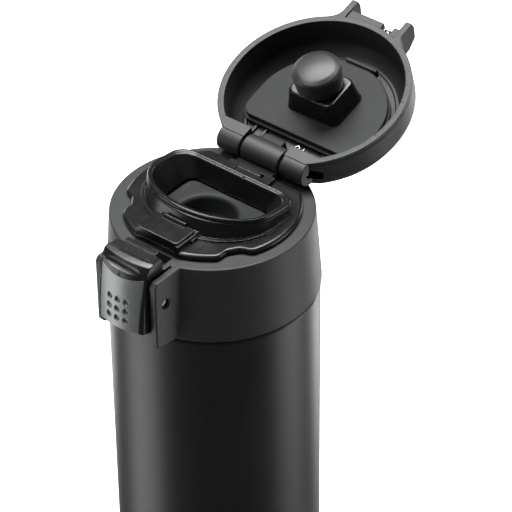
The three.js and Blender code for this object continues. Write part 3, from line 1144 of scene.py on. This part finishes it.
class FLASK_OT_latch_body(bpy.types.Operator):
    """Model the glossy rocking button with its scooped nose, ribs and hook"""

    bl_idname = "flask.latch_body"
    bl_label = "Latch button"

    def execute(self, context):
        sizes, _ = settings()
        nose = [(-38.2, 4.9, 0.8), (-40.4, 4.5, 1.0), (-42.3, 2.4, 1.4), (plate_front(-0.6), -0.6)]
        lower = [(plate_front(z), z) for z in (-4.0, -8.0, -12.0, -16.0)]
        outline = [(LATCH_BACK, 4.3), (-37.5, 4.3)] + nose + lower
        outline += [(-45.4, -18.2, 0.5), (-42.6, -19.0, 0.6), (-37, -18.8), (-35, -18.2)]
        outline += [(-34, -12), (-33.9, -2), (LATCH_BACK, 0)]
        button = crowned_sweep("latch_button", rounded(outline), 8.9)
        soften(button, 0.35, 3, 60)
        bed = [(plate_front(z) + 1.75, z) for z in (2.0, -4.0, -8.0, -12.0, -16.0, -20.0)]
        bed += [(-49, -20.0), (-49, 2.0)]
        cutter = plate_outline(crowned_sweep("bed", bed, 9.4), 0.12, -0.6)
        turns = [math.pi * k / 24 for k in range(2, 23)]
        ball = [(2.0 * math.sin(turn), -2.0 * math.cos(turn)) for turn in turns]
        scoop = turned("scoop", [(0.4, -2.0), *ball, (0.4, 2.0)], SMALL_ROUND)
        take(scoop)
        scoop.scale = (4.3, 0.85, 0.62)
        scoop.rotation_euler = (math.radians(48), 0, 0)
        scoop.location = (0, -42.0, 2.9)
        bpy.ops.object.transform_apply()
        hook = box("hook", (-6, -34, 3.7), (6, -31.8, 4.9), 0.25)
        rib = box("rib", (-7.9, -0.16, 4.0), (7.9, 0.16, 4.9), 0.1)
        ribs = copies(rib, [(0, -34.4 - 0.68 * k, 0) for k in range(sizes.rib_count)])
        weld_on(button, hook, *ribs)
        cut_away(
            button,
            cutter,
            scoop,
            rod("bore", 1.6, -12, 12, PIVOT.y, PIVOT.z, 0),
            box("spring_room", (-3.2, -39.6, -12.6), (3.2, -33, -6.2), 0),
        )
        finish = finish_named("gloss")
        hand_over(button, CAP_SPACE, "latch", "gloss_plastic", [finish], "latch_body")
        return {"FINISHED"}


class FLASK_OT_latch_plate(bpy.types.Operator):
    """Model the crowned gunmetal plate with its three rows of dimples"""

    bl_idname = "flask.latch_plate"
    bl_label = "Latch plate"

    def execute(self, context):
        sizes, _ = settings()
        heights = [2.0, -2.0, -5.0, -8.0, -12.0, -15.0, -17.8]
        front = [(plate_front(z), z) for z in heights]
        back = [(y + 1.5, z) for y, z in reversed(front)]
        plate = plate_outline(crowned_sweep("latch_plate", front + back, 9.0, 32), 0, -0.75)
        soften(plate, 0.3, 3, 50)
        radius = sizes.dimple_radius
        dimple = turned("dimple", [
            (radius * 0.25, -0.55),
            (radius * 0.55, -0.7),
            (radius * 0.86, -0.75),
            (radius, -0.5),
            (radius, -0.06),
            (radius + 0.12, 0.04),
            (radius + 0.16, 0.8),
        ], 32)
        take(dimple)
        dimple.rotation_euler = (math.radians(90 + 9), 0, 0)
        bpy.ops.object.transform_apply()
        places = []
        for z in (-8.1, -11.3, -14.5):
            for x in (-3.2, 0.0, 3.2):
                places.append((x, LATCH_BACK + (plate_front(z) - LATCH_BACK) * crown(x), z))
        cut_away(plate, *copies(dimple, places))
        hand_over(plate, CAP_SPACE, "latch", "gunmetal", [finish_named("gunmetal")], "latch_face")
        return {"FINISHED"}


class FLASK_OT_latch_pin(bpy.types.Operator):
    """Model the pin that the latch rocks on"""

    bl_idname = "flask.latch_pin"
    bl_label = "Latch pin"

    def execute(self, context):
        half = CHEEK_OUTER - 1.0
        pin = rod("latch_axle", 1.25, -half, half, PIVOT.y, PIVOT.z, 0.3)
        hand_over(pin, CAP_SPACE, "cap", "spring_steel", [finish_named("spring")], "latch_pin")
        return {"FINISHED"}


# ---------------------------------------------------------------------------
# Lid, drawn shut on the collar
# ---------------------------------------------------------------------------

LID_RADIUS = 30.8
LID_WALL = 2.2
RIM = 0.35
LID_TOP = 17.4
STEP = 9.6  # height of the step in the back of the lid, over the hinge
LUG_INNER = 8.0
LUG_OUTER = 16.8


class FLASK_OT_lid_shell(bpy.types.Operator):
    """Model the matt lid shell with its hinge lugs, prongs and catch ledge"""

    bl_idname = "flask.lid_shell"
    bl_label = "Lid shell"

    def execute(self, context):
        dish = turned("lid_dish", rounded([
            (1.0, RIM),
            (LID_RADIUS, RIM, 0.3),
            (LID_RADIUS, 1.5),
            (LID_RADIUS - 0.22, 1.65),
            (LID_RADIUS - 0.22, 1.85),
            (LID_RADIUS, 2.0),
            (LID_RADIUS, 9.3, 4.0),
            (LID_RADIUS - 2.7, 13.1, 5.0),
            (LID_RADIUS - 6.8, 16.6, 4.0),
            (19.2, LID_TOP, 1.0),
            (18.9, LID_TOP - 0.2),
            (1.0, LID_TOP - 0.2),
        ], 6))
        inner = LID_RADIUS - LID_WALL
        hollow = turned("hollow", [
            (inner + 0.4, -1),
            (inner + 0.4, RIM - 0.02),
            (inner + 0.1, RIM + 0.12),
            (inner, RIM + 0.4),
            (inner, 8.8),
            (inner - 1.1, 10.8),
            (inner - 2.8, 12.8),
            (inner - 5.0, 14.4),
            (inner - 7.0, 15.2),
        ])
        room = [(-40, -3), (-40, 20), (19.8, 20), (19.8, 9.3), (22.2, 9.3), (22.2, -3)]
        keep_within(hollow, sweep("room", room, [-40, 40]))
        above = LID_TOP + 1
        over_step = [(22.2, STEP), (23.6, above), (45, above), (45, STEP)]
        over_hinge = [(HINGE.y, -2), (HINGE.y, STEP + 1), (45, STEP + 1), (45, -2)]
        behind_step = sweep("behind_step", over_step, [-45, 45])
        behind_hinge = sweep("behind_hinge", over_hinge, [-45, 45])
        cut_away(dish, hollow, behind_step, behind_hinge)
        prong = [(-27.6, RIM), (-36.6, RIM, 0.8), (-37.3, 2.5, 0.6), (-36.8, 6.6, 1.2)]
        prong += [(-33.0, 9.0, 2.5), (-27.6, 9.6)]
        prongs = copies(side_block("prong", prong, 0, 2.4, 0.35), [(-11.8, 0, 0), (9.4, 0, 0)])
        lug = rod("lug", 4.2, 0, LUG_OUTER - LUG_INNER, HINGE.y, HINGE.z, 0.5, 96)
        lugs = copies(lug, [(-LUG_OUTER, 0, 0), (LUG_INNER, 0, 0)])
        ledges = [
            box("ledge", (-9.6, -33.2, 1), (3.2, -29.2, 3.4), 0.25),
            box("ledge", (7.2, -33.2, 1), (9.6, -29.2, 3.4), 0.25),
        ]
        weld_on(dish, *prongs, *lugs, *ledges)
        reach = 2.6
        fillet = [(11.2, -28.8 - reach), (11.2, -26.6)]
        fillet += [(12.0 + reach, -26.6)]
        for k in range(10):
            turn = math.pi / 2 * k / 9
            across = 11.75 + reach * (1 - math.sin(turn))
            rim = math.sqrt(LID_RADIUS**2 - across**2)
            fillet.append((across, -rim - reach * (1 - math.cos(turn))))
        web = loft_plan("gusset", fillet, RIM, 6.5)
        twin = copies(web, [(0, 0, 0), (0, 0, 0)])
        take(twin[1])
        bpy.ops.transform.mirror(constraint_axis=(True, False, False), center_override=(0, 0, 0))
        bpy.ops.object.transform_apply()
        edit(twin[1])
        face_out()
        lay_down("gusset_left")
        weld_on(dish, *twin)
        slot_way = Vector((-0.78, 0.63))
        pin_at = Vector((HINGE.y, HINGE.z))
        far = pin_at + slot_way * 3.2
        across = Vector((0.63, 0.78))
        oblong = []
        for centre, start in ((pin_at, -math.pi / 2), (far, math.pi / 2)):
            for k in range(13):
                turn = start + math.pi * k / 12
                way = math.cos(turn) * -slot_way + math.sin(turn) * across
                oblong.append(centre + way * 1.45)
        cut_away(
            dish,
            box("barrel_room", (-LUG_INNER, 21.5, -2), (LUG_INNER, 40, STEP - 0.2), 0),
            box("barrel_room_high", (-LUG_INNER, 22.2, -2), (LUG_INNER, 40, STEP + 1), 0),
            rod("bore", 1.6, -15.6, 15.6, HINGE.y, HINGE.z, 0),
            sweep("pin_recess", oblong, [15.0, 20]),
        )
        hand_over(dish, LID_SPACE, "lid", "matt_plastic", [finish_named("matt")], "lid_shell")
        return {"FINISHED"}


def loft_plan(name, points, z0, z1):
    """A block with a plan outline of (x, y) points."""
    draw([(x, y, z0) for x, y in points])
    bpy.ops.mesh.extrude_region_move(TRANSFORM_OT_translate={"value": (0, 0, z1 - z0)})
    face_out()
    return lay_down(name)


class FLASK_OT_lid_liner(bpy.types.Operator):
    """Model the dark floor inside the lid"""

    bl_idname = "flask.lid_liner"
    bl_label = "Lid liner"

    def execute(self, context):
        profile = [(23.5, 13.1), (23.9, 12.8), (24.7, 12.8), (24.9, 13.2)]
        profile += [(22.7, 14.7), (22.4, 14.8)]
        liner = turned("lid_floor", profile, ROUND)
        keep_within(liner, box("keep", (-40, -40, 10), (40, 19.3, 16), 0))
        boss = loft("boss", rectangle(8, 9, 3, 2), [(8, 9, 3, 11.4), (8, 9, 3, 13.4)])
        rib = box("rib", (-0.5, 13.2, 12.2), (0.5, 17.4, 13.4), 0.15)
        weld_on(liner, boss, *copies(rib, [(x, 0, 0) for x in (-15.5, -11.5, 11.5, 15.5)]))
        hand_over(liner, LID_SPACE, "lid", "dark_plastic", [finish_named("dark")], "lid_liner")
        return {"FINISHED"}


class FLASK_OT_seal_plate(bpy.types.Operator):
    """Model the D-shaped plate that covers the spout when the lid is shut"""

    bl_idname = "flask.seal_plate"
    bl_label = "Seal plate"

    def execute(self, context):
        half, front, back, corner = 22.4, 20.6, 12.6, 4.5
        rows = [(0.25, 9.4), (0.05, 9.55), (0.0, 9.8), (0.0, 10.9), (0.3, 11.2)]
        boxes = [(half - i, front - i, back - i, z) for i, z in rows]
        plate = loft("cover_plate", d_outline(*boxes[0][:3], corner), boxes)
        under_rows = [(22.9, 20.9, 13.4, 11.1), (22.9, 20.9, 13.4, 12.3), (22.6, 20.6, 13.1, 12.5)]
        under = loft("under", d_outline(22.9, 20.9, 13.4, 5.2), under_rows)
        clip = box("clip", (-4.2, -21.2, 8.5), (7.8, -19.9, 11.4), 0.25)
        weld_on(plate, under, clip)
        hand_over(plate, LID_SPACE, "lid", "grey_plastic", [finish_named("grey")], "seal_plate")
        return {"FINISHED"}


class FLASK_OT_plug(bpy.types.Operator):
    """Model the plug: its square foot and the round silicone cap"""

    bl_idname = "flask.plug"
    bl_label = "Plug"

    def execute(self, context):
        centre = -3.0
        rows = [(10.15, 9.2), (10.15, 9.0), (10.0, 8.85)]
        side = 7.7 / 10
        for k in range(5):
            rows.append((10.0 - 1.2 * (k + 1) / 5, 8.85 - (8.85 - 2.6) * (k + 1) / 5))
        rows += [(rows[-1][0] - inset * 1.1, 2.6 - rise) for inset, rise in quarter(0.95, 5)][1:]
        boxes = [(r, r * side - centre, r * side + centre, z) for r, z in rows]
        first = boxes[0]
        foot = loft("plug_foot", rectangle(first[0], first[1], first[2], 2.8), boxes)
        neck = post("neck", [(6.6, 0.6), (6.6, 3)], 0, centre)
        weld_on(foot, neck)
        hand_over(foot, LID_SPACE, "lid", "gloss_plastic", [finish_named("gloss")], "plug_pedestal")
        tip = -7.4
        radius = 7.9
        dome = 0.9
        profile = [(0.4, tip)]
        profile += [(r, tip + dome * (r / 6.6) ** 2) for r in (1.5, 3.0, 4.5, 5.6, 6.3)]
        edge_z = profile[-1][1]
        for k in range(1, 8):
            turn = math.pi / 2 * k / 7
            profile.append((6.3 + 1.6 * math.sin(turn), edge_z + 1.75 - 1.5 * math.cos(turn)))
        profile += [(radius - 0.05, -3.4), (radius - 0.25, -0.6), (radius - 0.5, 0.9)]
        profile += [(radius - 1.0, 1.25), (5.0, 1.25)]
        knob = post("plug_knob", profile, 0, centre, 96)
        hand_over(knob, LID_SPACE, "lid", "silicone", [finish_named("silicone")], "plug_cap")
        return {"FINISHED"}


# ---------------------------------------------------------------------------
# Hinge and small metal parts
# ---------------------------------------------------------------------------


def coil_route(radius, x0, x1, turns, count=28):
    route = []
    for k in range(int(turns * count) + 1):
        turn = 2 * math.pi * k / count
        x = x0 + (x1 - x0) * k / (turns * count)
        route.append((x, HINGE.y + radius * math.cos(turn), HINGE.z + radius * math.sin(turn)))
    return route


class FLASK_OT_hinge_metal(bpy.types.Operator):
    """Model the hinge pin and the lid spring"""

    bl_idname = "flask.hinge_metal"
    bl_label = "Hinge metal"

    def execute(self, context):
        pin = rod("hinge_axle", 1.25, -15, 15.9, HINGE.y, HINGE.z, 0.3)
        hand_over(pin, CAP_SPACE, "cap", "spring_steel", [finish_named("spring")], "hinge_pin")
        spring = wire("lid_coil", 0.35, coil_route(2.7, 3.6, 7.5, 4.25))
        hand_over(spring, CAP_SPACE, "cap", "spring_steel", [finish_named("spring")], "lid_spring")
        return {"FINISHED"}


class FLASK_OT_lid_small_parts(bpy.types.Operator):
    """Model the spring tab, the spring's leg and the catch wire in the lid"""

    bl_idname = "flask.lid_small_parts"
    bl_label = "Small parts in the lid"

    def execute(self, context):
        low, high = Vector((-9.0, 16.4, 9.2)), Vector((-0.8, 19.2, 12.9))
        tab = box("spring_button", low, high, 0.5)
        ear = box("ear", (-10.6, 17.2, 10.4), (-8.4, 18.8, 12.9), 0.4)
        weld_on(tab, ear)
        hand_over(tab, LID_SPACE, "lid", "grey_plastic", [finish_named("grey")], "spring_tab")
        leg = wire("spring_leg", 0.35, [
            (1.6, 18.9, 11.2),
            (2.4, 18.2, 10.6),
            (2.5, 15.8, 10.6),
            (3.2, 15.2, 10.6),
            (3.9, 15.8, 10.6),
            (3.9, 18.0, 10.6),
            (4.6, 18.6, 10.6),
            (5.4, 18.0, 10.6),
            (5.5, 15.4, 10.6),
        ])
        hand_over(leg, LID_SPACE, "lid", "spring_steel", [finish_named("spring")])
        staple = wire("catch_staple", 0.4, [
            (4.4, -31.4, 3.4),
            (4.4, -31.9, 2.4),
            (4.7, -31.9, 2.1),
            (5.9, -31.9, 2.1),
            (6.1, -31.9, 2.4),
            (6.1, -31.4, 3.4),
        ])
        hand_over(staple, LID_SPACE, "lid", "spring_steel", [finish_named("spring")], "catch_wire")
        return {"FINISHED"}


# ---------------------------------------------------------------------------
# Stage
# ---------------------------------------------------------------------------


def softbox(name, azimuth, elevation, distance, size, power):
    """A large soft light that faces the cap; angles in degrees from the camera's side."""
    target = Vector((0, 0, 0.17))
    stage = bpy.context.scene.flask_stage
    around = stage.azimuth + math.radians(azimuth)
    up = math.radians(elevation)
    way = Vector((math.sin(around) * math.cos(up), -math.cos(around) * math.cos(up), math.sin(up)))
    light = bpy.data.lights.new(name, "AREA")
    light.shape = "RECTANGLE"
    light.size, light.size_y = size
    light.energy = power
    lamp = bpy.data.objects.new(name, light)
    bpy.context.scene.collection.objects.link(lamp)
    lamp.location = target + way * distance
    lamp.rotation_euler = way.to_track_quat("Z", "Y").to_euler()
    return lamp


class FLASK_OT_stage(bpy.types.Operator):
    """Set up the pale floor, the soft studio light and the camera"""

    bl_idname = "flask.stage"
    bl_label = "Stage"

    def execute(self, context):
        scene = context.scene
        stage = scene.flask_stage
        clear_bench()
        bpy.ops.mesh.primitive_grid_add(x_subdivisions=4, y_subdivisions=4, size=8.0)
        floor = context.object
        floor.name = "floor"
        pale = Finish("Pale floor")
        cloud = pale.noise(600.0, 1.0)
        pale.set(
            Base_Color=pale.blend(cloud, grey(0.86), grey(0.9)),
            Roughness=0.9,
            Emission_Color=(1, 1, 1, 1),
            Emission_Strength=0.5,
        )
        floor.data.materials.append(pale.material)
        floor.visible_glossy = False
        floor.visible_shadow = False
        world = bpy.data.worlds.new("Studio")
        world.use_nodes = True
        world.node_tree.nodes["Background"].inputs["Color"].default_value = (0.07, 0.07, 0.07, 1)
        world.node_tree.nodes["Background"].inputs["Strength"].default_value = 1.0
        scene.world = world
        softbox("Left panel", -85, -20, 1.0, (0.6, 1.1), 5)
        softbox("Left back", -150, -10, 1.0, (0.4, 1.2), 4)
        softbox("Right panel", 85, -15, 1.0, (0.5, 1.0), 4)
        softbox("Right rim", 140, -10, 1.0, (0.4, 1.2), 5.5)
        softbox("Overhead", 180, 72, 1.1, (1.0, 0.5), 26)
        softbox("Top left", -75, 60, 1.2, (0.6, 0.6), 7)
        az, el = stage.azimuth, stage.elevation
        right = Vector((math.cos(az), math.sin(az), 0))
        back = Vector((math.sin(az) * math.cos(el), -math.cos(az) * math.cos(el), math.sin(el)))
        up = back.cross(right)
        right, up = (
            math.cos(stage.roll) * right + math.sin(stage.roll) * up,
            -math.sin(stage.roll) * right + math.cos(stage.roll) * up,
        )
        camera_data = bpy.data.cameras.new("Camera")
        camera_data.lens = stage.lens
        camera_data.sensor_width = 36
        camera_data.clip_start = 0.05
        camera_data.clip_end = 30
        camera = bpy.data.objects.new("Camera", camera_data)
        scene.collection.objects.link(camera)
        place = Vector((0, 0, DECK * MM)) + back * stage.distance
        place -= right * stage.aim[0] + up * stage.aim[1]
        camera.matrix_world = Matrix((
            (right.x, up.x, back.x, place.x),
            (right.y, up.y, back.y, place.y),
            (right.z, up.z, back.z, place.z),
            (0, 0, 0, 1),
        ))
        scene.camera = camera
        scene.view_settings.view_transform = "Standard"
        return {"FINISHED"}


# ---------------------------------------------------------------------------
# Panel and registration
# ---------------------------------------------------------------------------

STEPS = (
    FLASK_OT_body,
    FLASK_OT_foot,
    FLASK_OT_inner_parts,
    FLASK_OT_collar,
    FLASK_OT_spout,
    FLASK_OT_valve_seat,
    FLASK_OT_latch_body,
    FLASK_OT_latch_plate,
    FLASK_OT_latch_pin,
    FLASK_OT_lid_shell,
    FLASK_OT_lid_liner,
    FLASK_OT_seal_plate,
    FLASK_OT_plug,
    FLASK_OT_hinge_metal,
    FLASK_OT_lid_small_parts,
    FLASK_OT_stage,
)


class FLASK_PT_panel(bpy.types.Panel):
    """Lists the flask's settings and the steps that model it"""

    bl_idname = "FLASK_PT_panel"
    bl_label = "Vacuum flask"
    bl_space_type = "VIEW_3D"
    bl_region_type = "UI"
    bl_category = "Flask"

    def draw(self, context):
        scene = context.scene
        for group in (scene.flask_sizes, scene.flask_colours, scene.flask_stage):
            for name in group.bl_rna.properties.keys():
                if name not in {"rna_type", "name"}:
                    self.layout.prop(group, name)
        for step in STEPS:
            self.layout.operator(step.bl_idname)


CLASSES = (FlaskColours, FlaskSizes, FlaskStage, *STEPS, FLASK_PT_panel)


def register():
    for item in CLASSES:
        bpy.utils.register_class(item)
    bpy.types.Scene.flask_colours = bpy.props.PointerProperty(type=FlaskColours)
    bpy.types.Scene.flask_sizes = bpy.props.PointerProperty(type=FlaskSizes)
    bpy.types.Scene.flask_stage = bpy.props.PointerProperty(type=FlaskStage)


def unregister():
    del bpy.types.Scene.flask_stage
    del bpy.types.Scene.flask_sizes
    del bpy.types.Scene.flask_colours
    for item in reversed(CLASSES):
        bpy.utils.unregister_class(item)


def main():
    register()
    for step in STEPS:
        group, name = step.bl_idname.split(".")
        getattr(getattr(bpy.ops, group), name)()
    clear_bench()


if __name__ == "__main__":
    main()
